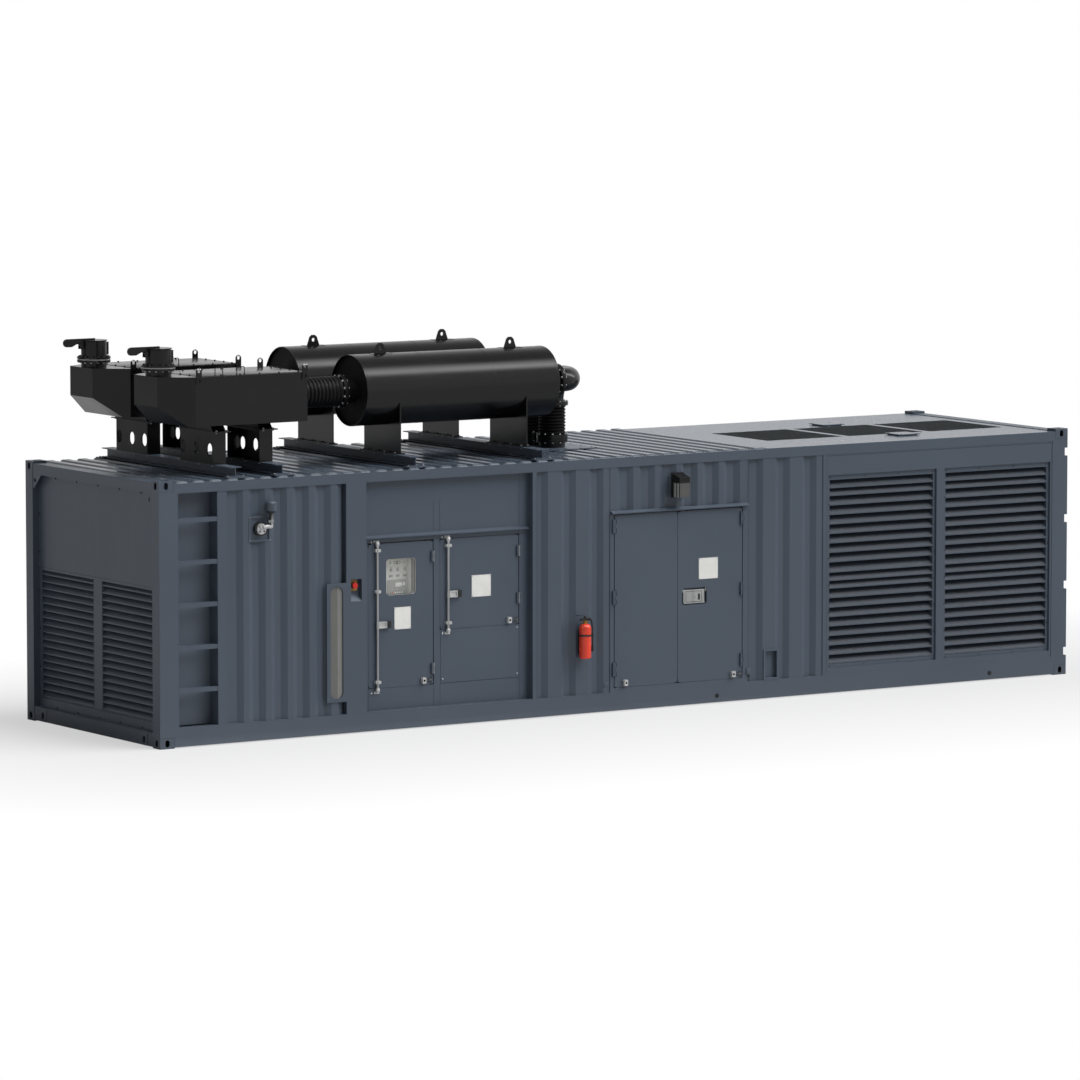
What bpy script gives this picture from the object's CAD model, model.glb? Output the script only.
import math

import bmesh
import bpy
from mathutils import Matrix, Vector


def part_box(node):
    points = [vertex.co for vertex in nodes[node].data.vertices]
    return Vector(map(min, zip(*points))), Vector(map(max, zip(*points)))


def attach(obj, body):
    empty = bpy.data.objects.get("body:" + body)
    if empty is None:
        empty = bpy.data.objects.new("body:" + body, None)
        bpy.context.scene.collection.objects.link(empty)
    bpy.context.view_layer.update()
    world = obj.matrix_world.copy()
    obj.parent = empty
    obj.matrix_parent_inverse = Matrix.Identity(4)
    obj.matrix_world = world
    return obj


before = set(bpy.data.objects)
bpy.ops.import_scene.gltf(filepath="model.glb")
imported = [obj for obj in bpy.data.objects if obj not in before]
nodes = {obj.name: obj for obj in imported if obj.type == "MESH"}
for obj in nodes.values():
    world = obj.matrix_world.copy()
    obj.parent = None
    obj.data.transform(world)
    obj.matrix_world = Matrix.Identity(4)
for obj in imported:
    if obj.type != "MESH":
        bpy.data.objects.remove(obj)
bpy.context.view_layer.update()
mm = 0.001

# faces and axes of the container that the small pieces sit on; every size below is in metres
side = -1.500             # outer face of the equipment side
crest = -1.494            # crests of its corrugated walls
bay = -1.410              # face of the set-back control bay
endSheet = -6.021         # face of the intake end
plant = 0.720             # exhaust lines either side of the middle
lines = (-plant, plant)
pipeAxis = 3.695          # height of the exhaust lines
stackAxis = -5.653        # stacks of the rain caps, along the container
boxTop = 3.967            # tops of the outlet boxes
front, up, down, left, right = (0, -1, 0), (0, 0, 1), (0, 0, -1), (-1, 0, 0), (1, 0, 0)


# materials

def hexColour(code):
    # sRGB hex to the linear values that Blender wants
    parts = [int(code[i:i + 2], 16) / 255 for i in (1, 3, 5)]
    return [c / 12.92 if c <= 0.04045 else ((c + 0.055) / 1.055) ** 2.4 for c in parts] + [1.0]


def addNode(tree, kind, links=None, **values):
    # makes one shader node, sets its inputs and attributes, and feeds nodes, sockets or numbers into it
    node = tree.nodes.new("ShaderNode" + kind)
    for key, value in values.items():
        if hasattr(node, key):
            setattr(node, key, value)
        else:
            node.inputs[key.replace("_", " ")].default_value = value
    for key, feed in (links or {}).items():
        if isinstance(feed, bpy.types.Node):
            feed = feed.outputs[0]
        if isinstance(feed, bpy.types.NodeSocket):
            tree.links.new(feed, node.inputs[key])
        else:
            node.inputs[key].default_value = feed
    return node


def startMaterial(name, **sockets):
    material = bpy.data.materials.new(name)
    material.use_nodes = True
    tree = material.node_tree
    shader = tree.nodes["Principled BSDF"]
    for key, value in sockets.items():
        shader.inputs[key.replace("_", " ")].default_value = value
    return material, tree, shader


def feedShader(tree, shader, **feeds):
    for key, node in feeds.items():
        tree.links.new(node.outputs[0], shader.inputs[key.replace("_", " ")])


def makeFinish(name, shades, patch, gloss, grain, depth, stretch=(1, 1, 1), shine=0.5, **sockets):
    # two shades drifting over patches, with roughness and a fine relief; sizes in mm
    material, tree, shader = startMaterial(name, Specular_IOR_Level=shine, **sockets)
    spot = addNode(tree, "TexCoord")
    lie = addNode(tree, "Mapping", {"Vector": spot.outputs["Object"]}, Scale=stretch)
    drift = addNode(tree, "TexNoise", {"Vector": lie}, Scale=1 / (patch * mm), Detail=4.0, Roughness=0.55)
    tone = addNode(tree, "MapRange", {"Value": drift}, From_Min=0.32, From_Max=0.68)
    colour = addNode(tree, "MixRGB", {"Fac": tone}, Color1=hexColour(shades[0]), Color2=hexColour(shades[1]))
    rough = addNode(tree, "MapRange", {"Value": drift}, From_Min=0.3, From_Max=0.7, To_Min=gloss[0], To_Max=gloss[1])
    fine = addNode(tree, "TexNoise", {"Vector": lie}, Scale=1 / (grain * mm), Detail=2.0)
    relief = addNode(tree, "Bump", {"Height": fine}, Strength=0.4, Distance=depth * mm)
    feedShader(tree, shader, Base_Color=colour, Roughness=rough, Normal=relief)
    return material


def makeContainerPaint(name, shades, gloss, shine, peelStrength=0.25):
    # two-pack polyurethane sprayed over blasted steel: even and satin, with the orange
    # peel of the spray, faint runs of rain down the sheets and a little road dust low down
    material, tree, shader = startMaterial(name, Specular_IOR_Level=shine)
    spot = addNode(tree, "TexCoord").outputs["Object"]
    drift = addNode(tree, "TexNoise", {"Vector": spot}, Scale=1 / (1300 * mm), Detail=3.0)
    tone = addNode(tree, "MapRange", {"Value": drift}, From_Min=0.3, From_Max=0.7)
    base = addNode(tree, "MixRGB", {"Fac": tone}, Color1=hexColour(shades[0]), Color2=hexColour(shades[1]))
    # rain runs about 30 mm wide and a metre long
    fall = addNode(tree, "Mapping", {"Vector": spot}, Scale=(1 / (30 * mm), 1 / (30 * mm), 1 / (1000 * mm)))
    runs = addNode(tree, "TexNoise", {"Vector": fall}, Scale=1.0, Detail=2.0)
    faint = addNode(tree, "MapRange", {"Value": runs}, From_Min=0.55, From_Max=0.8, To_Max=0.05)
    washed = addNode(tree, "MixRGB", {"Fac": faint, "Color1": base}, Color2=hexColour(shades[2]))
    # dust over the lowest 400 mm
    high = addNode(tree, "SeparateXYZ", {"Vector": spot})
    low = addNode(tree, "MapRange", {"Value": high.outputs["Z"]}, From_Min=0.4, From_Max=0.0, To_Max=0.10)
    dusty = addNode(tree, "MixRGB", {"Fac": low, "Color1": washed}, Color2=hexColour("#6b6a66"))
    rough = addNode(tree, "MapRange", {"Value": runs}, From_Min=0.3, From_Max=0.7, To_Min=gloss[0], To_Max=gloss[1])
    # the real peel is about 3 mm, drawn at 14 mm so that it shows
    peel = addNode(tree, "TexNoise", {"Vector": spot}, Scale=1 / (14 * mm), Detail=1.0)
    relief = addNode(tree, "Bump", {"Height": peel}, Strength=peelStrength, Distance=0.15 * mm)
    feedShader(tree, shader, Base_Color=dusty, Roughness=rough, Normal=relief)
    return material


def makeChequerPlate(name, shades):
    # hot-rolled tread plate: dull mill-grey steel with raised lozenges 30 mm apart
    material, tree, shader = startMaterial(name, Metallic=0.8, Roughness=0.55)
    spot = addNode(tree, "TexCoord")
    turned = addNode(tree, "Mapping", {"Vector": spot.outputs["Object"]},
        Rotation=(0, 0, math.radians(45)), Scale=(1 / (30 * mm), 1 / (30 * mm), 1))
    tread = addNode(tree, "TexChecker", {"Vector": turned}, Scale=1.0).outputs["Fac"]
    colour = addNode(tree, "MixRGB", {"Fac": tread}, Color1=hexColour(shades[0]), Color2=hexColour(shades[1]))
    relief = addNode(tree, "Bump", {"Height": tread}, Strength=0.6, Distance=2 * mm)
    feedShader(tree, shader, Base_Color=colour, Normal=relief)
    return material


def makePerforatedLining(name, shades):
    # galvanised acoustic lining: pale sheet pierced with round holes about 20 mm apart
    # (5 mm apart on the real sheet, coarser here so that they show)
    material, tree, shader = startMaterial(name, Metallic=0.6, Roughness=0.5)
    spot = addNode(tree, "TexCoord")
    holes = addNode(tree, "TexVoronoi", {"Vector": spot.outputs["Object"]}, Scale=1 / (20 * mm), Randomness=0.0)
    edge = addNode(tree, "MapRange", {"Value": holes.outputs["Distance"]}, From_Min=0.28, From_Max=0.34)
    colour = addNode(tree, "MixRGB", {"Fac": edge}, Color1=hexColour(shades[0]), Color2=hexColour(shades[1]))
    feedShader(tree, shader, Base_Color=colour)
    return material


def makeClearSheet(name, tint, rough):
    # clear polycarbonate: a flat glossy pane with faint wiping haze
    material, tree, shader = startMaterial(name, Alpha=0.10, Base_Color=hexColour(tint))
    spot = addNode(tree, "TexCoord")
    wipe = addNode(tree, "TexNoise", {"Vector": spot.outputs["Object"]}, Scale=1 / (90 * mm), Detail=3.0)
    haze = addNode(tree, "MapRange", {"Value": wipe}, To_Min=rough[0], To_Max=rough[1])
    feedShader(tree, shader, Roughness=haze)
    return material


paint = makeContainerPaint("slate polyurethane sprayed over blasted steel", ("#454e5a", "#49525e", "#3b434d"),
    (0.36, 0.42), 0.38)
# the same paint on the roof, laid on wetter, so that it mirrors the plant above it
roofPaint = makeContainerPaint("slate polyurethane flooded over roof sheet", ("#4f5966", "#535d6a", "#444d58"),
    (0.20, 0.28), 0.42, 0.03)
# the same paint in the ladder bay, faded by the weather
fadedPaint = makeContainerPaint("weathered slate polyurethane", ("#525a65", "#565e69", "#474e58"), (0.42, 0.5), 0.3)
# rib ends of the roof, rubbed pale by boots and slings
rubbedPaint = makeContainerPaint("slate polyurethane rubbed pale", ("#828a94", "#8c949d", "#6f767f"), (0.5, 0.6), 0.3)
# the same paint under a film of soot and oil mist, on the louvre blades
grimyPaint = makeContainerPaint("slate polyurethane filmed with oil mist", ("#2c323a", "#2f353d", "#262b32"),
    (0.42, 0.5), 0.3)
# brushed silicone heat paint: near black, satin, with faint brush marks along the pipes
heatBlack = makeFinish("black silicone heat paint brushed on steel", ("#0a0a0a", "#0e0e0e"),
    400, (0.18, 0.25), 60, 0.04, (0.3, 1, 1), shine=0.36)
# the same paint on the weather side, chalked by rain
chalkedBlack = makeFinish("rain-chalked black heat paint", ("#0b0b0b", "#101010"),
    300, (0.34, 0.42), 40, 0.05, shine=0.17)
# bellows in the same paint, dulled by heat
bellowsBlack = makeFinish("heat-dulled black paint on rolled bellows", ("#0a0a0a", "#0f0f0f"),
    120, (0.42, 0.52), 20, 0.05, shine=0.2)
# the same paint under soot, matt
soot = makeFinish("sooted heat paint", ("#060606", "#0a0a0a"), 150, (0.55, 0.7), 30, 0.1, shine=0.15)
# bright zinc plate: cool silver with a thin milky passivation
zinc = makeFinish("bright zinc plated steel", ("#8e9091", "#a2a4a5"), 60, (0.28, 0.42), 6, 0.05, Metallic=1.0)
# zinc passivated castings and studs: pale and frosty, so that they read light even in shade
castZinc = makeFinish("frosted zinc plated casting", ("#b6b7b7", "#c6c7c7"), 50, (0.42, 0.55), 8, 0.05, Metallic=0.45)
# stainless bar and plate, linished along its length
stainless = makeFinish("linished stainless steel", ("#a5a6a6", "#b9baba"),
    80, (0.28, 0.38), 5, 0.06, (1, 1, 0.1), Metallic=1.0)
# hot-dip galvanised wire: dull grey with spangle
galvanised = makeFinish("hot-dip galvanised wire", ("#4c4f52", "#63676a"), 25, (0.45, 0.6), 10, 0.05, Metallic=0.7)
# blackened expanded mesh: dark, slightly blue, with a dull edge light
meshSteel = makeFinish("blackened expanded steel mesh", ("#1d2124", "#2b3034"),
    25, (0.5, 0.62), 10, 0.05, Metallic=0.3)
lining = makePerforatedLining("perforated galvanised lining sheet", ("#3c4043", "#9da1a4"))
treadPlate = makeChequerPlate("hot-rolled chequer plate", ("#4b4c4d", "#626466"))
# stoved die-casting of the lamp: flat black
lampBlack = makeFinish("black stoved die-casting", ("#0a0b0b", "#0f1010"), 50, (0.5, 0.6), 6, 0.05, shine=0.3)
# moulded nylon fittings: deep black with a slight sheen
blackPlastic = makeFinish("black moulded nylon", ("#121314", "#181a1b"), 50, (0.42, 0.55), 4, 0.05)
# extruded EPDM rubber: matt and dark, fills joints and seals
rubber = makeFinish("extruded EPDM rubber", ("#131415", "#1b1c1d"), 40, (0.7, 0.85), 5, 0.05)
# shaded hollow of a socket or bolt hole
hollow = makeFinish("oiled steel bore", ("#0b0b0c", "#121213"), 20, (0.5, 0.7), 5, 0.05)
# red powder coat over a drawn steel bottle: glossy, slightly orange
bottleRed = makeFinish("red powder coated bottle steel", ("#dc3b24", "#e4432a"), 120, (0.2, 0.3), 12, 0.06)
# moulded caps and lenses: a clear, even red
buttonRed = makeFinish("red moulded polycarbonate", ("#b81d14", "#c6241a"), 30, (0.25, 0.35), 5, 0.03)
# moulded ABS that has dulled to ochre outdoors
baseYellow = makeFinish("yellow moulded ABS", ("#8f6b1e", "#9a7526"), 30, (0.4, 0.5), 5, 0.04)
# turned brass, browned by handling
brass = makeFinish("turned brass", ("#8c6c33", "#9c7a3e"), 20, (0.25, 0.38), 3, 0.04, Metallic=1.0)
# powder coated switchgear sheet: light warm grey with a fine texture
panelGrey = makeFinish("textured powder coat on switchgear sheet", ("#cbcbc5", "#d3d3cc"), 90, (0.5, 0.62), 3, 0.10)
# instrument case: mid grey, finely spark-textured
darkGrey = makeFinish("dark grey moulded instrument case", ("#7c7d7a", "#868783"), 40, (0.45, 0.55), 4, 0.05)
# screen and keys behind glossy film, greenish white
paleScreen = makeFinish("reflective liquid crystal screen", ("#d8dcd6", "#e4e7e2"), 30, (0.15, 0.22), 6, 0.02)
# moulded lamp lens: glossy green
lampGreen = makeFinish("green lamp lens", ("#1f8a3c", "#2aa34a"), 8, (0.2, 0.3), 3, 0.02)
# white enamelled plate, left bare
bareEnamel = makeFinish("white stoved enamel on aluminium plate", ("#dcdcd8", "#e6e6e2"), 120, (0.28, 0.38), 8, 0.04)
# pressed mineral fibre gasket: pale, matt, fibrous
gasket = makeFinish("pressed mineral fibre gasket", ("#cdcdca", "#dededa"), 15, (0.75, 0.9), 4, 0.2)
# lamp lens: smoky polycarbonate, with paler ribs that scatter the light
lensGrey = makeFinish("smoky ribbed polycarbonate lens", ("#4b4b4a", "#4f4f4e"), 60, (0.3, 0.4), 20, 0.01)
lensPale = makeFinish("frosted ribs of the lamp lens", ("#9c9c99", "#a6a6a3"), 40, (0.3, 0.4), 10, 0.02)
# frosted covers of the level gauge: the float column and the paler sight strip beside it
gaugeGrey = makeFinish("frosted grey polycarbonate cover", ("#5e5e5c", "#636361"), 150, (0.5, 0.6), 10, 0.03)
sightStrip = makeFinish("frosted clear polycarbonate strip", ("#767674", "#7c7c7a"), 150, (0.4, 0.5), 10, 0.03)
clearSheet = makeClearSheet("clear extruded polycarbonate", "#f4f6f5", (0.02, 0.05))
# joint sealant, a darker shade of the paint
sealant = makeFinish("painted joint sealant", ("#23272d", "#2a2e35"), 60, (0.5, 0.6), 10, 0.1)
print("materials made")


# shape helpers; every piece is built on the one bench, and placePiece takes it from there

bench = bmesh.new()


def addBox(low, high, soft=0.0, turn=None):
    (x0, y0, z0), (x1, y1, z1) = low, high
    corners = [(x, y, z) for z in (z0, z1) for x, y in ((x0, y0), (x1, y0), (x1, y1), (x0, y1))]
    points = [bench.verts.new(turn @ Vector(c) if turn else c) for c in corners]
    faces = [bench.faces.new([points[i] for i in ring]) for ring in
        ((3, 2, 1, 0), (4, 5, 6, 7), (0, 1, 5, 4), (1, 2, 6, 5), (2, 3, 7, 6), (3, 0, 4, 7))]
    if soft:
        edges = list({edge for face in faces for edge in face.edges})
        bmesh.ops.bevel(bench, geom=edges, offset=soft, segments=2, profile=0.5, affect="EDGES")


def arc(radius, first, last, steps):
    # pairs along an arc, from one angle in degrees to another
    turns = [math.radians(first + (last - first) * k / steps) for k in range(steps + 1)]
    return [(radius * math.cos(a), radius * math.sin(a)) for a in turns]


def circle(middle, axis, radius, count, lead=0.0):
    # evenly spaced points on a circle about an axis
    turn = Vector((0, 0, 1)).rotation_difference(Vector(axis))
    return [Vector(middle) + turn @ Vector((u, v, 0)) for u, v in arc(radius, lead, lead + 360, count)[:count]]


def addTurned(profile, origin, axis, sides=20):
    # revolves (radius, height) points about an axis that starts at origin
    rings = []
    for radius, height in profile:
        count = sides if radius > 1e-6 else 1
        middle = Vector(origin) + Vector(axis) * height
        rings.append([bench.verts.new(p) for p in circle(middle, axis, radius, sides)[:count]])
    for a, b in zip(rings, rings[1:]):
        for k in range(sides):
            j = (k + 1) % sides
            ring = [a[k % len(a)], a[j % len(a)], b[j % len(b)], b[k % len(b)]]
            bench.faces.new(list(dict.fromkeys(ring)))


def addKnob(place, axis, foot, head, height, sides, crown=None):
    # solid round piece that narrows from its foot to its head, with a flat or crowned top
    addTurned([(0, 0), (foot, 0), (head, height), (0, crown or height)], place, axis, sides)


def addBolt(place, axis, size):
    # washer and hexagon head, size is half across the corners
    addKnob(place, axis, size * 1.25, size * 1.25, size * 0.2, 12)
    addTurned([(0, size * 0.2), (size, size * 0.2), (size, size * 0.8), (size * 0.8, size), (0, size)],
        place, axis, 6)


def addScrew(place, axis, size):
    # low domed head
    addTurned([(0, 0), (size, 0), (size, size * 0.25), (size * 0.7, size * 0.5), (0, size * 0.55)], place, axis, 10)


def addTube(points, radius, sides=10):
    # round tube along a path, closed at both ends
    path = [Vector(p) for p in points]
    rings = []
    across = None
    for i, p in enumerate(path):
        ahead = (path[min(i + 1, len(path) - 1)] - path[max(i - 1, 0)]).normalized()
        if across is None:
            across = ahead.orthogonal().normalized()
        across = (across - ahead * across.dot(ahead)).normalized()
        other = ahead.cross(across)
        rings.append([bench.verts.new(p + across * u + other * v) for u, v in arc(radius, 0, 360, sides)[:sides]])
    for a, b in zip(rings, rings[1:]):
        for k in range(sides):
            bench.faces.new([a[k], a[(k + 1) % sides], b[(k + 1) % sides], b[k]])
    bench.faces.new(rings[0][::-1])
    bench.faces.new(rings[-1])


def bendPath(points, radius, steps=6):
    # rounds the inner corners of a path
    path = [Vector(p) for p in points]
    out = [path[0]]
    for before, here, after in zip(path, path[1:], path[2:]):
        a = here + (before - here).normalized() * min(radius, (before - here).length * 0.49)
        b = here + (after - here).normalized() * min(radius, (after - here).length * 0.49)
        for k in range(steps + 1):
            t = k / steps
            out.append(a * (1 - t) ** 2 + here * 2 * t * (1 - t) + b * t * t)
    return out + [path[-1]]


def framePath(x0, x1, z0, z1, y, start, radius, steps):
    # rounded frame that faces the front, from a start on its lower edge round to there again
    corners = [(start, z0), (x1, z0), (x1, z1), (x0, z1), (x0, z0), (start + 0.001, z0)]
    return bendPath([(x, y, z) for x, z in corners], radius, steps)


def addPrism(outline, start, along):
    # closed outline of points moved by along, with both ends
    low = [bench.verts.new(Vector(start) + Vector(p)) for p in outline]
    high = [bench.verts.new(Vector(start) + Vector(p) + Vector(along)) for p in outline]
    count = len(outline)
    for k in range(count):
        bench.faces.new([low[k], low[(k + 1) % count], high[(k + 1) % count], high[k]])
    bench.faces.new(low[::-1])
    bench.faces.new(high)


def placePiece(name, finish, body="container", sharp=35):
    bmesh.ops.recalc_face_normals(bench, faces=bench.faces[:])
    mesh = bpy.data.meshes.new(name)
    bench.to_mesh(mesh)
    bench.clear()
    mesh.materials.append(finish)
    mesh.shade_smooth()
    mesh.set_sharp_from_angle(angle=math.radians(sharp))
    piece = bpy.data.objects.new(name, mesh)
    bpy.context.scene.collection.objects.link(piece)
    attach(piece, body)


# finishes on the CAD nodes

def dress(name, base, *rules):
    # one finish for the whole node, then others on the faces whose centre, or centre and
    # normal, pass a test
    mesh = nodes[name].data
    mesh.materials.clear()
    for finish in [base] + [rule[0] for rule in rules]:
        mesh.materials.append(finish)
    for face in mesh.polygons:
        face.material_index = 0
        for i, (finish, test, *facing) in enumerate(rules):
            if test(face.center) and all(face.normal.dot(Vector(aim)) > 0.9 for aim in facing):
                face.material_index = i + 1
    mesh.shade_smooth()
    mesh.set_sharp_from_angle(angle=math.radians(25))


def within(x0, x1, y0, y1, z0, z1):
    return lambda c: x0 < c.x < x1 and y0 < c.y < y1 and z0 < c.z < z1


def around(x, y, radius):
    return lambda c: math.hypot(c.x - x, c.y - y) < radius


def anywhere(c):
    return True


def inside(c):
    # lining sheets face the room
    return abs(c.y) < 1.4005 and abs(c.x) < 5.9215


def drumEnd(c):
    # the recessed ends of the silencers
    return not -3.190 < c.x < -0.790 and math.hypot(abs(c.y) - plant, c.z - pipeAxis) < 0.380


def stackGasket(c):
    return 4.0465 < c.z < 4.0575 and math.hypot(c.x - stackAxis, abs(c.y) - plant) > 0.16


slate = """corner_castings corner_posts base_rails top_rails ladder_rungs service_post
    control_header control_lower_panels drip_rails engine_sill drain_hatch radiator_frames
    intake_louvres level_gauge""".split()
for name in slate:
    dress(name, paint)
for name in ("roof_sheet", "discharge_deck"):
    dress(name, roofPaint)
dress("ladder_bay", paint, (fadedPaint, lambda c: c.y > side + 0.02, front))
# rain and road film darken the sloping backs of the blades, the lips stay clean
dress("radiator_louvres", paint, (grimyPaint, anywhere, (0, -0.8, 0.6)), (grimyPaint, anywhere, (0, 0.8, 0.6)))
for name in ("mid_wall", "right_wall", "engine_header", "back_wall", "intake_end_wall", "radiator_end_wall"):
    dress(name, paint, (lining, inside))
for name in ("front_rain_cap", "back_rain_cap", "silencer_saddles", "exhaust_elbows", "floor_bearers"):
    dress(name, heatBlack)
dress("exhaust_bellows", bellowsBlack)
dress("silencers", heatBlack, (soot, drumEnd))
dress("floor_deck", treadPlate)
dress("discharge_grilles", meshSteel)
dress("control_window", clearSheet)
dress("control_panel", panelGrey)
dress("control_lock_bar", stainless, (castZinc, lambda c: c.x > -3.300))
dress("breaker_lock_bar", stainless, (castZinc, lambda c: c.x > -2.385))
dress("door_latch", stainless)
dress("wall_lamp", lampBlack)
dress("support_beams", paint, (rubber, lambda c: c.z < 2.8915 and abs(c.y) < 1.355))
dress("riser_curb", heatBlack, (paint, lambda c: c.z < 2.8885))
dress("box_supports", heatBlack, (chalkedBlack, anywhere, left))
dress("outlet_boxes", heatBlack, (chalkedBlack, anywhere, left), (gasket, stackGasket))
dress("stop_button", buttonRed, (baseYellow, lambda c: c.y > -1.4615))
dress("fuel_bay_wall", paint, (lining, inside), (gaugeGrey, within(-3.970, -3.790, -1.499, -1.404, 0.390, 1.640)))
dress("fuel_vent", blackPlastic, (castZinc, lambda c: c.y < -1.5225 and c.z < 2.400), (paint, lambda c: c.z > 2.5155))
dress("fire_extinguisher", bottleRed, (blackPlastic, lambda c: c.y > -1.532 or c.z > 1.0665),
    (blackPlastic, lambda c: 0.8925 < c.z < 0.9135 and math.hypot(c.x + 0.696, c.y + 1.580) > 0.0675),
    (brass, lambda c: 1.0335 < c.z < 1.0675 and math.hypot(c.x + 0.696, c.y + 1.580) < 0.0255))

# stays, keepers and plates as left, right, foot and head
doorGear = {
    "control_door": {"skin": bay, "bar": -3.321, "hinge": -2.589, "keeper": (-3.198, -3.152, 1.125, 1.205),
                     "stay": (-2.748, -2.700, 0.481, 0.549), "plate": (-3.093, -2.875, 1.099, 1.349)},
    "breaker_door": {"skin": bay, "bar": -2.406, "hinge": -1.470, "keeper": (-2.284, -2.236, 1.413, 1.493),
                     "stay": (-1.629, -1.581, 1.082, 1.150), "plate": (-2.089, -1.833, 1.397, 1.645)},
    "engine_door_left": {"skin": side, "hinge": -0.252, "stay": (-0.141, -0.093, 0.287, 0.355)},
    "engine_door_right": {"skin": side, "hinge": 1.482, "stay": (1.323, 1.371, 0.287, 0.355),
                          "plate": (0.884, 1.150, 1.426, 1.671)},
}
pinOut, pinRadius, leafDepth = 0.016, 0.0098, 0.0595


def dressDoor(name, gear):
    skin = gear["skin"]

    def proud(x0, x1, z0, z1, out=0.050):
        # what stands on the leaf within a rectangle
        return within(x0, x1, skin - out, skin - 0.0005, z0, z1)

    x0, x1, z0, z1 = gear["stay"]
    rules = [(lining, lambda c: c.y > skin + leafDepth),
        (zinc if skin == bay else paint, around(gear["hinge"], skin - pinOut, pinRadius)),
        (castZinc, proud(x0, x1, z0, z1)),
        (hollow, lambda c: math.hypot(c.x - (x0 + x1) / 2, c.z - (z0 + z1) / 2) < 0.0137
        and skin - 0.0395 < c.y < skin)]
    if "bar" in gear:
        rules.append((castZinc, proud(gear["bar"] - 0.036, gear["bar"] + 0.036, 0, 3)))
        rules.append((blackPlastic, proud(*gear["keeper"])))
    if "plate" in gear:
        rules.append((bareEnamel, proud(*gear["plate"], 0.010)))
    if name == "control_door":
        # reveal of the window
        rules.append((panelGrey, within(-3.196, -2.810, skin + 0.0005, skin + leafDepth, 1.481, 1.888)))
    if name == "engine_door_right":
        # axle of the latch
        rules.append((zinc, within(0.60, 1.05, skin + 0.005, skin + 0.0395, 1.285, 1.335)))
    dress(name, paint, *rules)


for name, gear in doorGear.items():
    dressDoor(name, gear)
dress("control_jambs", paint, (lining, lambda c: c.y > bay + 0.0995),
    *[(zinc, around(doorGear[door]["hinge"], bay - pinOut, pinRadius)) for door in ("control_door", "breaker_door")])
dress("engine_jambs", paint, (lining, lambda c: c.y > side + 0.0995))
print("CAD nodes dressed")


# lock gear: eight-sided cams at the bar ends, straps over the guides, keepers on the frame
lockGear = {"out": 0.026, "cam": 0.024, "camHeight": 0.036, "bore": 0.0145, "sleeve": 0.018, "strap": 0.020,
    "strapHeight": 0.026, "boltPitch": 0.027, "bolt": 0.007, "keeper": (0.034, 0.014), "keeperBolt": 0.009}
# door, place along the container, foot, head and heights of the guides
lockBars = {"control_lock_bar": ("control_door", -3.321, 0.435, 2.076, (0.535, 1.535, 1.988)),
    "breaker_lock_bar": ("breaker_door", -2.406, 1.036, 2.082, (1.136, 1.994))}
cam, tall = lockGear["cam"], lockGear["camHeight"]
camShape = [(0, 0), (cam * 0.8, 0), (cam, tall * 0.2), (cam, tall * 0.8), (cam * 0.8, tall), (0, tall)]
sleeveShape = [(lockGear["bore"], -0.010), (lockGear["sleeve"], -0.010),
    (lockGear["sleeve"], tall + 0.010), (lockGear["bore"], tall + 0.010)]
strapShape = [(u, -v - 0.002, 0) for u, v in arc(lockGear["strap"], 0, 180, 10)]
halfWide, halfTall = lockGear["keeper"]
for bar, (door, x, low, high, guides) in lockBars.items():
    for z in (low - 0.004, high - tall + 0.004):
        addTurned(camShape, (x, bay - lockGear["out"], z), up, 8)
        addTurned(sleeveShape, (x, bay - lockGear["out"], z), up, 16)
    placePiece(door.replace("door", "bar_cams"), castZinc, bar)
    for z in guides:
        for dx in (-lockGear["boltPitch"], lockGear["boltPitch"]):
            addBolt((x + dx, bay - 0.046, z), front, lockGear["bolt"])
        addPrism(strapShape, (x, bay - 0.044, z - lockGear["strapHeight"] / 2), (0, 0, lockGear["strapHeight"]))
    placePiece(door + "_guide_straps", castZinc, door)
    for z in (low - 0.016, high + 0.008):
        addBox((x - halfWide, bay - 0.005, z - halfTall), (x + halfWide, bay, z + halfTall), 0.0015)
        addBolt((x - 0.064, bay, z - 0.004), front, lockGear["keeperBolt"])
    placePiece(door + "_bar_keepers", castZinc)
print("lock gear made")

# door stays: rod out of the socket to a forked catch at the leaf's edge
stay = {"rod": 0.004, "out": 0.020, "half": 0.023, "soft": 0.0012}
for door, gear in doorGear.items():
    if door == "engine_door_left":
        continue
    x0, x1, z0, z1 = gear["stay"]
    y, z = gear["skin"], (z0 + z1) / 2
    edge, half = gear["hinge"] - 0.020, stay["half"]
    addTube([(x1 - 0.003, y - stay["out"], z), (edge - 0.012, y - stay["out"], z)], stay["rod"], 8)
    addBox((edge - 0.034, y - 0.006, z - half), (edge - 0.002, y, z + half), stay["soft"])
    for prong in (z - half, z + half):
        addBox((edge - 0.014, y - 0.028, prong - 0.004), (edge - 0.002, y - 0.005, prong + 0.004), stay["soft"])
    addKnob((edge - 0.052, y - stay["out"], z), right, 0.008, 0.008, 0.014, 10)
    placePiece(door + "_stay_rod", galvanised, door)

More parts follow.
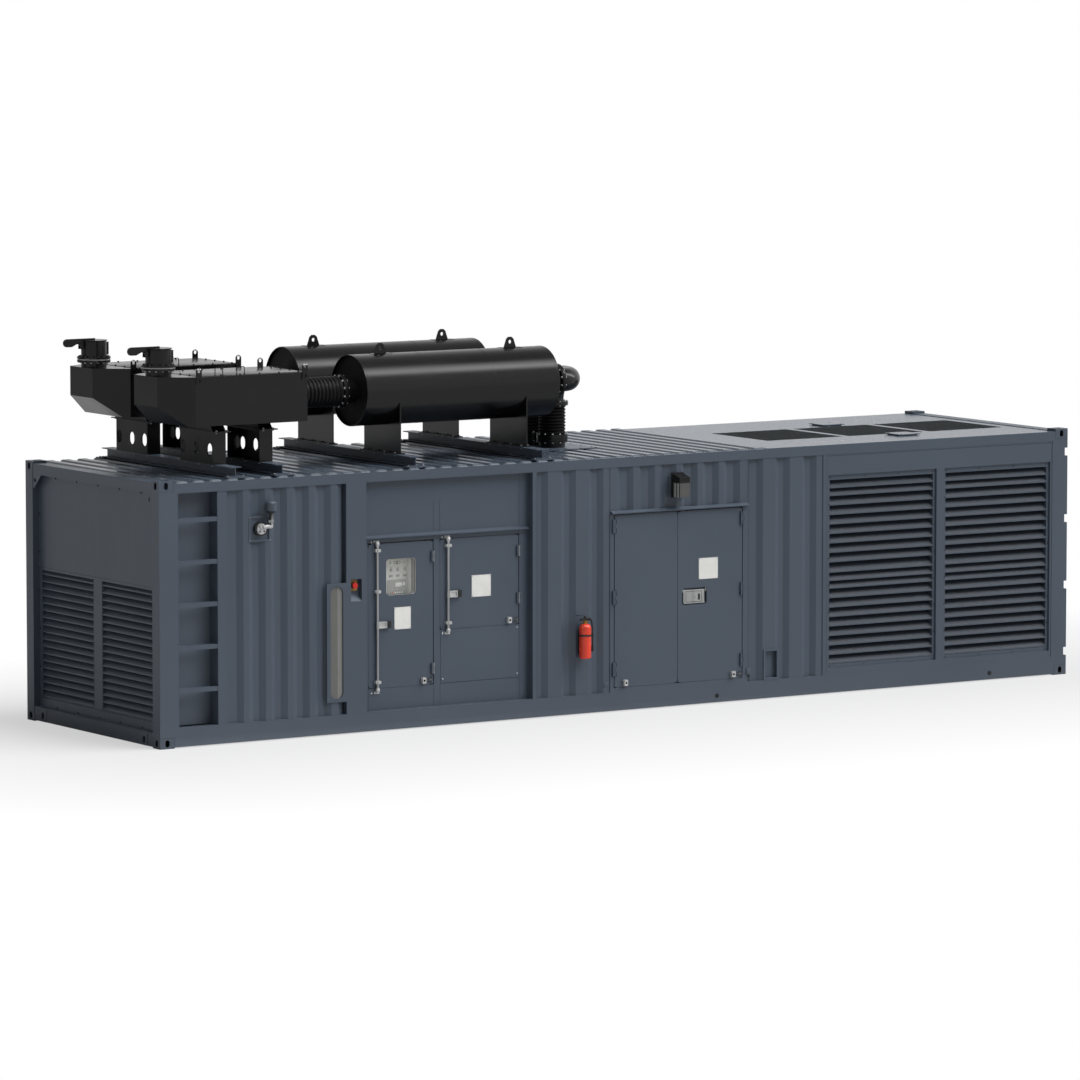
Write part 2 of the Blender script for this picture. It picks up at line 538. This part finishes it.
# folded lips that close the gaps over, under and beside the leaves; the free edge of a leaf
# is its left one (-1) or its right one (1)
lip = {"reach": 0.008, "thick": 0.003, "lap": 0.001, "short": 0.030}
leaves = {"control_door": (-3.418, -2.591, 0.471, 2.052, -1), "breaker_door": (-2.492, -1.472, 1.072, 2.058, -1),
    "engine_door_left": (-0.250, 0.590, 0.277, 2.208, 1), "engine_door_right": (0.610, 1.480, 0.277, 2.208, -1)}
reach, lap, short = lip["reach"], lip["lap"], lip["short"]
for door, (x0, x1, z0, z1, free) in leaves.items():
    y = doorGear[door]["skin"] + 0.0005
    edge = x0 - reach if free < 0 else x1 - lap
    for a, b, low, high in ((x0 + short, x1 - short, z1 - lap, z1 + reach),
            (x0 + short, x1 - short, z0 - reach, z0 + lap), (edge, edge + reach + lap, z0 + short, z1 - short)):
        addBox((a, y, low), (b, y + lip["thick"], high), 0.001)
    placePiece(door + "_lips", paint, door)

# bare plates: rivets at the corners and a rolled edge
plate = {"rivet": 0.005, "rivetInset": 0.013, "edge": 0.0018, "edgeInset": 0.003, "corner": 0.008}
for door, gear in doorGear.items():
    if "plate" not in gear:
        continue
    x0, x1, z0, z1 = gear["plate"]
    y, inset = gear["skin"] - 0.003, plate["rivetInset"]
    for x in (x0 + inset, x1 - inset):
        for z in (z0 + inset, z1 - inset):
            addScrew((x, y, z), front, plate["rivet"])
    inset = plate["edgeInset"]
    rim = framePath(x0 + inset, x1 - inset, z0 + inset, z1 - inset, y, x0 + 0.03, plate["corner"], 4)
    addTube(rim, plate["edge"], 6)
    placePiece(door + "_plate_rim", zinc, door)
print("stays and plates made")

# control cabinet as it shows through the window
fascia = {"low": (-3.165, -1.262, 1.452), "high": (-2.838, -1.2565, 1.868)}
face = fascia["low"][1]
addBox(fascia["low"], fascia["high"], 0.002)
placePiece("panel_fascia", panelGrey)
# hood between the door and the panel keeps light off the instruments
hood = {"front": -1.344, "back": -1.250, "sheets": ((-2.836, -2.830, 1.446, 1.874), (-3.200, -3.194, 1.446, 1.874),
    (-3.194, -2.836, 1.446, 1.450), (-3.194, -2.836, 1.870, 1.874))}
for x0, x1, z0, z1 in hood["sheets"]:
    addBox((x0, hood["front"], z0), (x1, hood["back"], z1), 0.001)
placePiece("panel_hood", panelGrey)

# controller with its screens, buttons and lamps
controller = {"left": -3.092, "right": -2.850, "foot": 1.470, "head": 1.634, "thick": 0.014,
    "screens": ((-2.992, -2.908, 1.558, 1.602), (-2.900, -2.868, 1.566, 1.601)),
    "keys": (-2.993, -2.964, -2.936, -2.908), "smallKeys": (-3.034, -2.964, -2.893)}
caseFront = face - 0.0138
addBox((controller["left"], face - controller["thick"], controller["foot"]),
    (controller["right"], face, controller["head"]), 0.004)
placePiece("controller_case", darkGrey)
for x0, x1, z0, z1 in controller["screens"]:
    addBox((x0, face - 0.0165, z0), (x1, face - 0.013, z1), 0.001)
placePiece("controller_screen", paleScreen)
for x in controller["keys"]:
    addKnob((x, caseFront, 1.492), front, 0.008, 0.007, 0.003, 12, 0.0035)
for x in controller["smallKeys"]:
    addKnob((x, caseFront, 1.530), front, 0.005, 0.004, 0.002, 10, 0.0025)
placePiece("controller_buttons", paleScreen)
lamps = {"run_lamps": (lampGreen, "panel_grey", [(-2.878, caseFront, 1.490), (-3.050, face, 1.820)]),
    "stop_lamp": (buttonRed, "stop_red", [(-3.030, caseFront, 1.493)])}
for name, (finish, slot, places) in lamps.items():
    for place in places:
        addKnob(place, front, 0.011, 0.009, 0.006, 14, 0.008)
    placePiece(name, finish)
# selector switches with half-round dials, and the small meters under them
selector = {"places": (-3.043, -2.957, -2.866), "height": 1.745, "dial": 0.030}
dialShape = [(u, 0, v) for u, v in arc(selector["dial"], 0, 180, 12)]
for x in selector["places"]:
    addPrism(dialShape, (x, face, selector["height"]), (0, -0.003, 0))
placePiece("selector_dials", bareEnamel)
for x in selector["places"]:
    addKnob((x, face - 0.0028, selector["height"]), front, 0.019, 0.017, 0.010, 18)
    addBox((x - 0.006, face - 0.024, 1.727), (x + 0.006, face - 0.010, 1.775), 0.002)
    addBox((x - 0.024, face - 0.008, 1.664), (x + 0.024, face, 1.690), 0.002)
placePiece("selector_knobs", darkGrey)
# lock in its oval ring, with a small button beside it
lockRing = {"x": -2.963, "z": 1.821, "wide": 0.040, "tall": 0.016}
oval = [(lockRing["x"] + lockRing["wide"] * u, face - 0.003, lockRing["z"] + lockRing["tall"] * v)
    for u, v in arc(1, 0, 360, 24)]
addTube(oval, 0.0035, 6)
addKnob((-2.870, face, 1.819), front, 0.007, 0.006, 0.005, 12, 0.006)
addKnob((lockRing["x"], face, lockRing["z"]), front, 0.012, 0.011, 0.006, 14, 0.007)
placePiece("panel_lock_ring", blackPlastic)
addTube(framePath(-3.191, -2.815, 1.486, 1.883, bay + 0.024, -3.0, 0.038, 8), 0.003, 6)
placePiece("window_seal", rubber, "control_door")
print("control panel made")

# fire extinguisher: squeeze lever, discharge hose and a gauge on the valve
bottle = {"x": -0.696, "y": -1.580, "head": 1.090, "hose": 0.009, "strip": (0.011, 0.002)}
bx, by, bz = bottle["x"], bottle["y"], bottle["head"]
halfWide, halfThick = bottle["strip"]
# carrying handle and lever over it, both bent from strip and reaching to the left
for rise, reach, lift in ((0.006, 0.105, -0.012), (0.030, 0.125, 0.016)):
    path = bendPath([(bx + 0.030, by, bz + rise - 0.010), (bx - 0.020, by, bz + rise),
        (bx - reach * 0.6, by, bz + rise + lift), (bx - reach, by, bz + rise + lift * 0.4)], 0.03, 5)
    for a, b in zip(path, path[1:]):
        along = b - a
        aim = Vector(right).rotation_difference(along.normalized()).to_matrix().to_4x4()
        addBox((0, -halfWide, -halfThick), (along.length, halfWide, halfThick), 0.0, Matrix.Translation(a) @ aim)
addTurned([(0, 0), (0.013, 0), (0.015, 0.010), (0.015, 0.032), (0.010, 0.040), (0, 0.040)],
    (bx, by, bz - 0.012), up, 16)
placePiece("extinguisher_lever", blackPlastic)
hose = bendPath([(bx + 0.010, by - 0.010, bz - 0.008), (bx + 0.055, by - 0.020, bz + 0.004),
    (bx + 0.080, by - 0.022, bz - 0.060), (bx + 0.083, by - 0.022, 0.900), (bx + 0.083, by - 0.022, 0.790)], 0.05, 8)
addTube(hose, bottle["hose"], 12)
addTurned([(0, 0), (0.010, 0), (0.013, 0.020), (0.012, 0.075), (0, 0.075)], (bx + 0.083, by - 0.022, 0.792), down, 14)
# clip that holds the hose to the band
addBox((bx + 0.055, by - 0.034, 0.893), (bx + 0.096, by - 0.010, 0.913), 0.003)
placePiece("extinguisher_hose", rubber)
addTurned([(0, 0), (0.014, 0), (0.014, 0.008), (0.012, 0.010), (0, 0.010)],
    (bx + 0.006, by - 0.012, bz - 0.035), front, 18)
placePiece("extinguisher_gauge", brass)
print("extinguisher fittings made")

# wall lamp: ribbed lens over the lower half of the body
lens = {"left": 0.525, "right": 0.666, "foot": 2.386, "head": 2.545, "front": -1.6502, "back": -1.516,
    "rib": 0.033, "ribOut": 0.005, "wall": 0.010, "barPlaces": (-1.566, -1.622), "barHalf": 0.015}


def ribbed(start, end, out):
    # saw-tooth run of small ribs between two plan points
    start, end = Vector(start), Vector(end)
    count = max(2, round((end - start).length / lens["rib"]))
    step = (end - start) / count
    points = []
    for k in range(count):
        points += [start + step * k, start + step * (k + 0.5) + Vector(out) * lens["ribOut"]]
    return points


x0, x1, y0, y1, wall = lens["left"], lens["right"], lens["front"], lens["back"], lens["wall"]
outline = ribbed((x0, y1, 0), (x0, y0 + 0.006, 0), left)
outline += [(x0 + 0.004, y0, 0), (x1 - 0.004, y0, 0)]
outline += ribbed((x1, y0 + 0.006, 0), (x1, y1, 0), right)
outline += [(x1, y1, 0), (x1 - wall, y1, 0), (x1 - wall, y0 + wall, 0), (x0 + wall, y0 + wall, 0), (x0 + wall, y1, 0)]
addPrism(outline, (0, 0, lens["foot"]), (0, 0, lens["head"] - lens["foot"]))
placePiece("lamp_lens", lensGrey, sharp=20)
for x in (x0 - 0.008, x1 + 0.002):
    for y in lens["barPlaces"]:
        addBox((x, y - lens["barHalf"], lens["foot"]), (x + 0.006, y + lens["barHalf"], lens["head"]), 0.002)
placePiece("lamp_lens_bars", lensPale)
for x in (x0 - 0.006, x1 + 0.006):
    addScrew((x, -1.514, 2.645), front, 0.005)
addBox((x0 - 0.002, y0 - 0.0004, lens["head"]), (x1 + 0.002, y1, lens["head"] + 0.006), 0.001)
placePiece("lamp_trim", blackPlastic)
print("lamp lens made")

# fuel vent: bolt holes in the disc and a nut on the elbow
vent = {"x": -4.842, "z": 2.320, "holeCircle": 0.038, "hole": 0.010, "nut": (-4.740, -1.560, 2.400),
    "trayEdges": (-4.972, -4.718), "trayRows": (2.192, 2.448)}
for place in circle((vent["x"], -1.5405, vent["z"]), front, vent["holeCircle"], 4, 45):
    addKnob(place, front, vent["hole"], vent["hole"], 0.001, 12)
placePiece("vent_bolt_holes", hollow)
addTurned([(0.022, -0.014), (0.032, -0.014), (0.034, -0.010), (0.034, 0.010), (0.032, 0.014), (0.022, 0.014)],
    vent["nut"], up, 6)
addTurned([(0.056, 0), (0.062, 0), (0.062, 0.004), (0.056, 0.004)], (vent["x"], -1.5223, vent["z"]), front, 28)
placePiece("vent_union_nut", zinc)
for x in vent["trayEdges"]:
    for z in vent["trayRows"]:
        addScrew((x, -1.498, z), front, 0.006)
placePiece("vent_tray_screws", zinc)

# level gauge: frosted covers just inside the slot of its plate
gauge = {"middle": -3.883, "radius": 0.0795, "foot": 0.395, "head": 1.633, "split": -3.867, "front": -1.492,
    "thick": 0.006}
radius = gauge["radius"]
rounded = [(gauge["middle"] + u, gauge["head"] - radius + v) for u, v in arc(radius, 0, 180, 12)]
rounded += [(gauge["middle"] + u, gauge["foot"] + radius + v) for u, v in arc(radius, 180, 360, 12)]
for name, finish, clip in (("gauge_column_cover", gaugeGrey, min), ("gauge_sight_strip", sightStrip, max)):
    addPrism([(clip(x, gauge["split"]), 0, z) for x, z in rounded], (0, gauge["front"], 0), (0, gauge["thick"], 0))
    placePiece(name, finish)

# stop button collar
addTurned([(0.018, 0), (0.036, 0), (0.036, 0.006), (0.028, 0.012), (0.018, 0.012)],
    (-3.645, -1.4602, 1.630), front, 22)
placePiece("stop_button_collar", blackPlastic)
print("fuel bay fittings made")

# paddle latch: lock cylinder, pressed edges, and the thumb slot and pressed lines on the plate
latch = {"middle": 0.830, "face": -1.486, "foot": 1.176, "head": 1.296, "half": 0.106, "edge": 0.118,
    "line": 0.002, "proud": 0.0006}
middle, y, half, line = latch["middle"], latch["face"], latch["half"], latch["line"]
for x in (middle - latch["edge"], middle + latch["edge"]):
    addBox((x - 0.006, y - 0.002, latch["foot"] + 0.006), (x + 0.006, y, latch["head"] - 0.006), 0.0008)
addTurned([(0, 0), (0.013, 0), (0.013, 0.003), (0.009, 0.005), (0, 0.005)], (middle + 0.012, y, 1.232), front, 16)
placePiece("latch_plate_edges", stainless, "door_latch")
addBox((middle + 0.058, y - 0.001, 1.196), (middle + 0.084, y, 1.266), 0.0004)
addBox((middle + 0.010, y - 0.0055, 1.2255), (middle + 0.014, y - 0.0048, 1.2385))
for z in (latch["foot"], latch["head"]):
    addBox((middle - half, y - latch["proud"], z - line), (middle + half, y, z + line))
for x in (middle - half, middle + half):
    addBox((x - line, y - latch["proud"], latch["foot"]), (x + line, y, latch["head"]))
placePiece("latch_thumb_slot", hollow, "door_latch")

# stay brackets on the walls beside the engine doors, and the plugs in the base rail
addBox((1.538, side - 0.012, 0.300), (1.602, side, 0.376), 0.003)
addBox((-0.398, crest - 0.006, 0.290), (-0.326, crest, 0.345), 0.003)
placePiece("stay_brackets", paint)
plug = {"places": (1.141, 4.981), "height": 0.088, "radius": 0.018, "ring": 0.026, "eye": (1.575, 0.284)}
eyeX, eyeZ = plug["eye"]
addTurned([(0, 0), (0.014, 0), (0.014, 0.010), (0.010, 0.014), (0, 0.014)], (eyeX, side, eyeZ), front, 14)
addTube([(eyeX, side - 0.004, eyeZ), (eyeX, side - 0.004, eyeZ - 0.059)], 0.003, 6)
plugPlaces = [(x, side, plug["height"]) for x in plug["places"]]
for place in plugPlaces:
    addTurned([(plug["radius"], 0), (plug["ring"], 0), (plug["ring"], 0.004), (plug["radius"], 0.006)],
        place, front, 20)
placePiece("rail_plug_rings", rubber)
for place in plugPlaces:
    addKnob(place, front, plug["radius"], plug["radius"], 0.002, 16)
placePiece("rail_plugs", hollow)
print("door side fittings made")

# joints between sheets, sealed and painted over
seams = {"half": 0.0025, "narrow": 0.00175, "proud": 0.0006,
    "bayUpright": ((-2.583, 2.072, 2.500), (-2.500, 2.072, 2.500), (-1.463, 2.072, 2.740),
    (-2.583, 0.222, 0.460), (-2.500, 0.222, 0.460), (-1.463, 0.222, 1.060), (-3.428, 0.222, 0.460)),
    "level": ((-3.498, -1.342, bay, 2.0725), (-2.500, -1.463, bay, 0.466), (2.600, 5.870, -1.497, 2.738)),
    "wallUpright": (2.602, 2.654, -1.286, 1.565, -0.312, 5.874), "wall": (0.222, 2.752),
    "castings": ((-6.095, -5.918, -5.918), (5.918, 6.095, 5.918)),
    "castingRows": ((0.014, 0.118, 0.118), (2.778, 2.890, 2.778))}
half, narrow, proud = seams["half"], seams["narrow"], seams["proud"]
for x, low, high in seams["bayUpright"]:
    addBox((x - half, bay - proud, low), (x + half, bay, high))
for x0, x1, y, z in seams["level"]:
    addBox((x0, y - proud, z - half), (x1, y, z + half))
for x in seams["wallUpright"]:
    addBox((x - narrow, side - proud, seams["wall"][0]), (x + narrow, side, seams["wall"][1]))
for x0, x1, x in seams["castings"]:
    for low, high, z in seams["castingRows"]:
        addBox((x - narrow, side - proud, low), (x + narrow, side, high))
        addBox((x0, side - proud, z - narrow), (x1, side, z + narrow))
placePiece("sheet_joints", sealant)
# outline of the louvre sheet on the intake end
endSeams = {"level": (2.750, 1.722, 0.262), "reach": 1.338, "upright": (-1.334, -0.090, 0.090, 1.334)}
for z in endSeams["level"]:
    addBox((endSheet - proud, -endSeams["reach"], z - half), (endSheet, endSeams["reach"], z + half))
for y in endSeams["upright"]:
    addBox((endSheet - proud, y - half, 0.262), (endSheet, y + half, 1.722))
placePiece("intake_sheet_joints", sealant)

# plates inside the castings that close them off behind the end holes
castingPlate = {"x": (-6.066, 6.060), "y": (-1.485, 1.353), "z": (0.020, 2.798), "size": (0.006, 0.132, 0.078)}
for x in castingPlate["x"]:
    for y in castingPlate["y"]:
        for z in castingPlate["z"]:
            addBox((x, y, z), [a + b for a, b in zip((x, y, z), castingPlate["size"])], 0.001)
placePiece("casting_plates", hollow)

# saddles over the rib ends at both edges of the roof
ribs = {"pitch": 0.209, "crown": 0.046, "base": 0.066, "lead": 0.118, "deep": 0.040, "last": 1.742,
    "inside": 2.8600, "foot": 2.8625, "head": 2.8790}
roofLow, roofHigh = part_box("roof_sheet")
saddle = [(-ribs["base"], 0, ribs["inside"]), (ribs["base"], 0, ribs["inside"]), (ribs["base"], 0, ribs["foot"]),
    (ribs["crown"], 0, ribs["head"]), (-ribs["crown"], 0, ribs["head"]), (-ribs["base"], 0, ribs["foot"])]
x = roofLow[0] + ribs["lead"]
while x < ribs["last"]:
    for y in (roofLow[1], roofHigh[1] - ribs["deep"]):
        addPrism(saddle, (x, y, 0), (0, ribs["deep"], 0))
    x += ribs["pitch"]
placePiece("rib_end_saddles", rubbedPaint)

# screws and bolts of the container
for x in (-2.466, -1.492):
    for z in (0.510, 1.025):
        addScrew((x, bay - 0.003, z), front, 0.011)
placePiece("cover_screws", zinc)
louvreScrews = {"banks": ((2.690, 4.190), (4.330, 5.830)), "foot": 0.316, "head": 2.487, "pitch": 0.31, "size": 0.008}
foot, size = louvreScrews["foot"], louvreScrews["size"]
for x0, x1 in louvreScrews["banks"]:
    for y, axis in ((-1.473, front), (1.473, (0, 1, 0))):
        for k in range(4):
            for z in (louvreScrews["head"], foot):
                addScrew((x0 + 0.03 + k * (x1 - x0 - 0.06) / 3, y, z), axis, size)
        for k in range(1, 7):
            for x in (x0 + 0.010, x1 - 0.002):
                addScrew((x, y, foot + k * louvreScrews["pitch"]), axis, size)
placePiece("louvre_screws", hollow)
endBolts = {"rows": (2.732, 0.182), "sides": (-1.32, 1.32), "size": 0.008}
for k in range(5):
    for z in endBolts["rows"]:
        addBolt((endSheet, -0.98 + k * 0.48, z), left, endBolts["size"])
    for y in endBolts["sides"]:
        addBolt((endSheet, y, 0.609 + k * 0.426), left, endBolts["size"])
placePiece("intake_sheet_bolts", hollow)
print("joints and screws made")

# woven wire under the outlets in the roof deck; the real weave is about 12 mm,
# drawn at 42 mm so that it shows
outlets = {"starts": (2.385, 3.538, 4.691), "length": 1.0583, "near": -0.690, "far": 0.450,
    "pitch": 0.042, "wire": 0.0032, "height": 2.8582}
y0, y1, step, r, z = outlets["near"], outlets["far"], outlets["pitch"], outlets["wire"], outlets["height"]
for x0 in outlets["starts"]:
    x1 = x0 + outlets["length"]
    for k in range(1, int((x1 - x0) / step) + 1):
        addBox((x0 + k * step - r, y0, z), (x0 + k * step + r, y1, z + r))
    for k in range(1, int((y1 - y0) / step) + 1):
        addBox((x0, y0 + k * step - r, z + r * 0.6), (x1, y0 + k * step + r, z + r * 1.6))
placePiece("outlet_weave", meshSteel)
for x0 in outlets["starts"]:
    for k in range(5):
        for y in (y0 - 0.025, y1 + 0.025):
            addScrew((x0 + 0.05 + k * 0.24, y, 2.866), up, 0.008)
for x in (4.045, 4.275):
    for y in (-1.00, -0.765, 0.525, 0.760):
        addScrew((x, y, 2.886), up, 0.008)
placePiece("deck_screws", zinc)
print("roof deck fittings made")

# exhaust line: studs through the flange pairs
studs = {"count": 12, "size": 0.011, "flanges": ((-4.028, -3.980), (-3.400, -3.352), (-0.556, -0.508)),
    "circle": 0.1725, "stackCount": 14, "stackCircle": 0.1625, "risers": (-0.200, 0.200), "riserAxis": -0.248,
    "riserCircle": 0.1695, "riserFaces": ((3.410, up), (3.370, down), (3.040, up), (2.950, down))}
size = studs["size"]
for y in lines:
    for low, high in studs["flanges"]:
        for place in circle((0, y, pipeAxis), right, studs["circle"], studs["count"], 15):
            addBolt((low, place.y, place.z), left, size)
            addBolt((high, place.y, place.z), right, size)
    for place in circle((stackAxis, y, 4.022), up, studs["stackCircle"], studs["stackCount"]):
        addBolt(place, down, size)
for y in studs["risers"]:
    for z, axis in studs["riserFaces"]:
        for place in circle((studs["riserAxis"], y, z), up, studs["riserCircle"], studs["count"]):
            addBolt(place, axis, size)
placePiece("flange_studs", castZinc)
# bright weld ring and flange edge at the box end of each bellows
for y in lines:
    addTurned([(0.150, 0), (0.158, -0.002), (0.1585, 0.010), (0.150, 0.011)], (-3.980, y, pipeAxis), right, 40)
    addTurned([(0.1785, 0), (0.1868, 0.002), (0.1868, 0.006), (0.1785, 0.008)], (-4.008, y, pipeAxis), right, 40)
placePiece("bellows_rings", castZinc)
print("flange studs made")

# outlet boxes: cover sheet, its screws and two wire handles
cover = {"left": -5.400, "right": -4.100, "half": 0.435, "thick": 0.004, "handles": (-5.100, -4.828),
    "handleOut": 0.350, "handleHeight": 0.078, "handleHalf": 0.048, "wire": 0.005, "bolt": 0.010,
    "clampX": -5.493, "clamps": (4.125, 4.205)}
top, grip = boxTop + cover["thick"], cover["handleHalf"]
for line in lines:
    addBox((cover["left"], line - cover["half"], boxTop), (cover["right"], line + cover["half"], top), 0.001)
    y = line - cover["handleOut"]
    for x in cover["handles"]:
        corners = [(-grip, 0), (-grip, cover["handleHeight"]), (grip, cover["handleHeight"]), (grip, 0)]
        addTube(bendPath([(x + u, y, top + v) for u, v in corners], 0.018, 5), cover["wire"], 8)
        for dx in (-grip, grip):
            addKnob((x + dx, y, top), up, 0.014, 0.012, 0.006, 12)
placePiece("box_covers", heatBlack)
for line in lines:
    for k in range(6):
        for dy in (-0.415, 0.415):
            addBolt((-5.36 + k * 0.244, line + dy, top), up, cover["bolt"])
    for dy in (-0.2, 0.0, 0.2):
        for x in (-5.38, -4.12):
            addBolt((x, line + dy, top), up, cover["bolt"])
    # bolts over the stack flange, painted with the stack
    for place in circle((stackAxis, line, 4.082), up, studs["stackCircle"], studs["stackCount"]):
        addBolt(place, up, size)
    # clamp bolts of the rain cap collars
    x = cover["clampX"]
    for z in cover["clamps"]:
        addTube([(x, line - 0.026, z), (x, line + 0.026, z)], 0.006, 8)
        addBolt((x, line - 0.0142, z), front, 0.012)
        addBolt((x, line + 0.0142, z), (0, 1, 0), 0.012)
placePiece("box_cover_screws", blackPlastic)

# bolts of the stands, saddles and beams: offsets along and across, then heights with their axes
beamBolts = {
    "stands": ((-5.100, -4.513), 0.012, [((-0.055, 0.055), (-0.30, 0.0, 0.30), ((2.987, down),)),
                                         ((-0.06, 0.06), (-0.395, 0.395), ((3.362, up), (3.350, down)))]),
    "saddles": ((-2.814, -1.160), 0.011, [((-0.042, 0.042), (-0.33, -0.11, 0.11, 0.33), ((3.009, up), (2.987, down)))]),
}
for beams, size, groups in beamBolts.values():
    for x in beams:
        for line in lines:
            for alongs, acrosses, heights in groups:
                for place in [(x + dx, line + dy, z, axis) for dy in acrosses for dx in alongs for z, axis in heights]:
                    addBolt(place[:3], place[3], size)
        for y in (-1.415, 1.415):
            for dx in (-0.098, 0.098):
                addBolt((x + dx, y, 2.892), up, 0.012)
placePiece("beam_bolts", zinc)

# riser curb: screws round the plate
curb = {"left": -0.673, "right": 0.137, "half": 0.515, "size": 0.010}
for k in range(5):
    for y in (-curb["half"], curb["half"]):
        addScrew((curb["left"] + k * 0.2025, y, 2.888), up, curb["size"])
    for x in (curb["left"], curb["right"]):
        addScrew((x, -0.43 + k * 0.215, 2.888), up, curb["size"])
placePiece("curb_screws", hollow)

# silencers: rolled welds round the drums and doubler plates under the eyes
drum = {"welds": (-3.215, -2.400, -1.570, -0.757), "eyes": (-2.846, -1.145), "doubler": 0.250}
doubler = [(0, v, u) for u, v in arc(0.3985, -9, 9, 6) + arc(0.393, 9, -9, 6)]
for y in lines:
    for x in drum["welds"]:
        addTurned([(0.3945, -0.005), (0.3965, -0.002), (0.3965, 0.002), (0.3945, 0.005)], (x, y, pipeAxis), right, 72)
    for x in drum["eyes"]:
        addPrism(doubler, (x - drum["doubler"] / 2, y, pipeAxis), (drum["doubler"], 0, 0))
placePiece("silencer_welds", heatBlack)
bench.free()
print("roof plant fittings made")


# stage
world = bpy.context.scene.world or bpy.data.worlds.new("studio")
bpy.context.scene.world = world
world.use_nodes = True
tree = world.node_tree
tree.nodes.clear()
# even fill for the shading; mirrored rays see a studio that is dimmer to the left and overhead,
# with one long soft strip above the front; the camera sees plain white
skyFill = 0.21
white = hexColour("#ffffff")
path = addNode(tree, "LightPath")
aim = addNode(tree, "TexCoord")
aim = addNode(tree, "SeparateXYZ", {0: aim.outputs["Generated"]})
acrossRoom = addNode(tree, "MapRange", {"Value": aim.outputs["X"]}, From_Min=-0.5, From_Max=0.3,
    To_Min=0.32, To_Max=1.0)
overhead = addNode(tree, "MapRange", {"Value": aim.outputs["Z"]}, From_Min=0.45, From_Max=0.75,
    To_Min=0.78, To_Max=0.34)
room = addNode(tree, "Math", {0: acrossRoom, 1: overhead}, operation="MULTIPLY")
lean = addNode(tree, "Math", {0: aim.outputs["Y"], 1: aim.outputs["Z"]}, operation="DIVIDE")
rise = addNode(tree, "MapRange", {"Value": lean}, From_Min=-0.15, From_Max=-0.64, To_Max=7.4)
fall = addNode(tree, "MapRange", {"Value": lean}, From_Min=-0.95, From_Max=-0.60)
over = addNode(tree, "Math", {0: aim.outputs["Z"], 1: 0.2}, operation="GREATER_THAN")
strip = addNode(tree, "Math", {0: rise, 1: fall}, operation="MULTIPLY")
strip = addNode(tree, "Math", {0: strip, 1: over, 2: room}, operation="MULTIPLY_ADD")
fill = addNode(tree, "Background", Color=white, Strength=skyFill)
mirrored = addNode(tree, "Background", {"Strength": strip}, Color=white)
backdrop = addNode(tree, "Background", Color=white, Strength=1.0)
seen = addNode(tree, "Math", {0: path.outputs["Is Camera Ray"], 1: path.outputs["Is Transmission Ray"]},
    operation="MAXIMUM")
mix = addNode(tree, "MixShader", {0: path.outputs["Is Glossy Ray"], 1: fill, 2: mirrored})
mix = addNode(tree, "MixShader", {0: seen, 1: mix, 2: backdrop})
addNode(tree, "OutputWorld", {"Surface": mix})

# the camera sees the floor lifted towards white, and wholly white a few metres from the object
fade = {"half": (6.1, 1.5, 0), "near": 0.3, "far": 5.0, "lift": 0.55}
reach = 400
floorMesh = bpy.data.meshes.new("floor")
floorMesh.from_pydata([(-reach, -reach, 0), (reach, -reach, 0), (reach, reach, 0), (-reach, reach, 0)],
    [], [(0, 1, 2, 3)])
floor = bpy.data.objects.new("floor", floorMesh)
bpy.context.scene.collection.objects.link(floor)
studioFloor, tree, shader = startMaterial("white painted studio floor", Roughness=0.9, Specular_IOR_Level=0.0,
    Base_Color=hexColour("#cdcdcd"))
path = addNode(tree, "LightPath")
spot = addNode(tree, "TexCoord")
out = addNode(tree, "VectorMath", {0: spot.outputs["Object"]}, operation="ABSOLUTE")
out = addNode(tree, "VectorMath", {0: out, 1: fade["half"]}, operation="SUBTRACT")
out = addNode(tree, "VectorMath", {0: out, 1: (0, 0, 0)}, operation="MAXIMUM")
out = addNode(tree, "VectorMath", {0: out}, operation="LENGTH")
away = addNode(tree, "MapRange", {"Value": out.outputs["Value"]}, From_Min=fade["near"], From_Max=fade["far"],
    To_Min=fade["lift"], To_Max=1.0)
lift = addNode(tree, "Math", {0: path.outputs["Is Camera Ray"], 1: away}, operation="MULTIPLY")
glow = addNode(tree, "Emission", Color=white, Strength=1.0)
blend = addNode(tree, "MixShader", {0: lift, 1: shader, 2: glow})
tree.links.new(blend.outputs[0], tree.nodes["Material Output"].inputs["Surface"])
floorMesh.materials.append(studioFloor)

# broad soft key from the front right, so that the shadow falls to the left
key = {"strength": 3.4, "spread": 55, "turn": (38.5, 0, 46)}
sun = bpy.data.lights.new("key", "SUN")
sun.energy = key["strength"]
sun.angle = math.radians(key["spread"])
sunObject = bpy.data.objects.new("key", sun)
sunObject.rotation_euler = [math.radians(a) for a in key["turn"]]
# its glint is left to the strip
sunObject.visible_glossy = False
bpy.context.scene.collection.objects.link(sunObject)

# camera fitted to the photograph
view = {"place": (-40.69947, -62.81954, 9.58620), "turn": (84.05642, 0, -32.75860), "focalPixels": 6597.17,
    "imagePixels": 1080, "sensor": 36, "farthest": 2000}
camera = bpy.data.cameras.new("photo")
camera.sensor_width = view["sensor"]
camera.lens = view["focalPixels"] / view["imagePixels"] * view["sensor"]
camera.clip_end = view["farthest"]
cameraObject = bpy.data.objects.new("photo", camera)
cameraObject.location = view["place"]
cameraObject.rotation_euler = [math.radians(a) for a in view["turn"]]
bpy.context.scene.collection.objects.link(cameraObject)
bpy.context.scene.camera = cameraObject
bpy.context.scene.view_settings.view_transform = "Standard"
print("stage set")
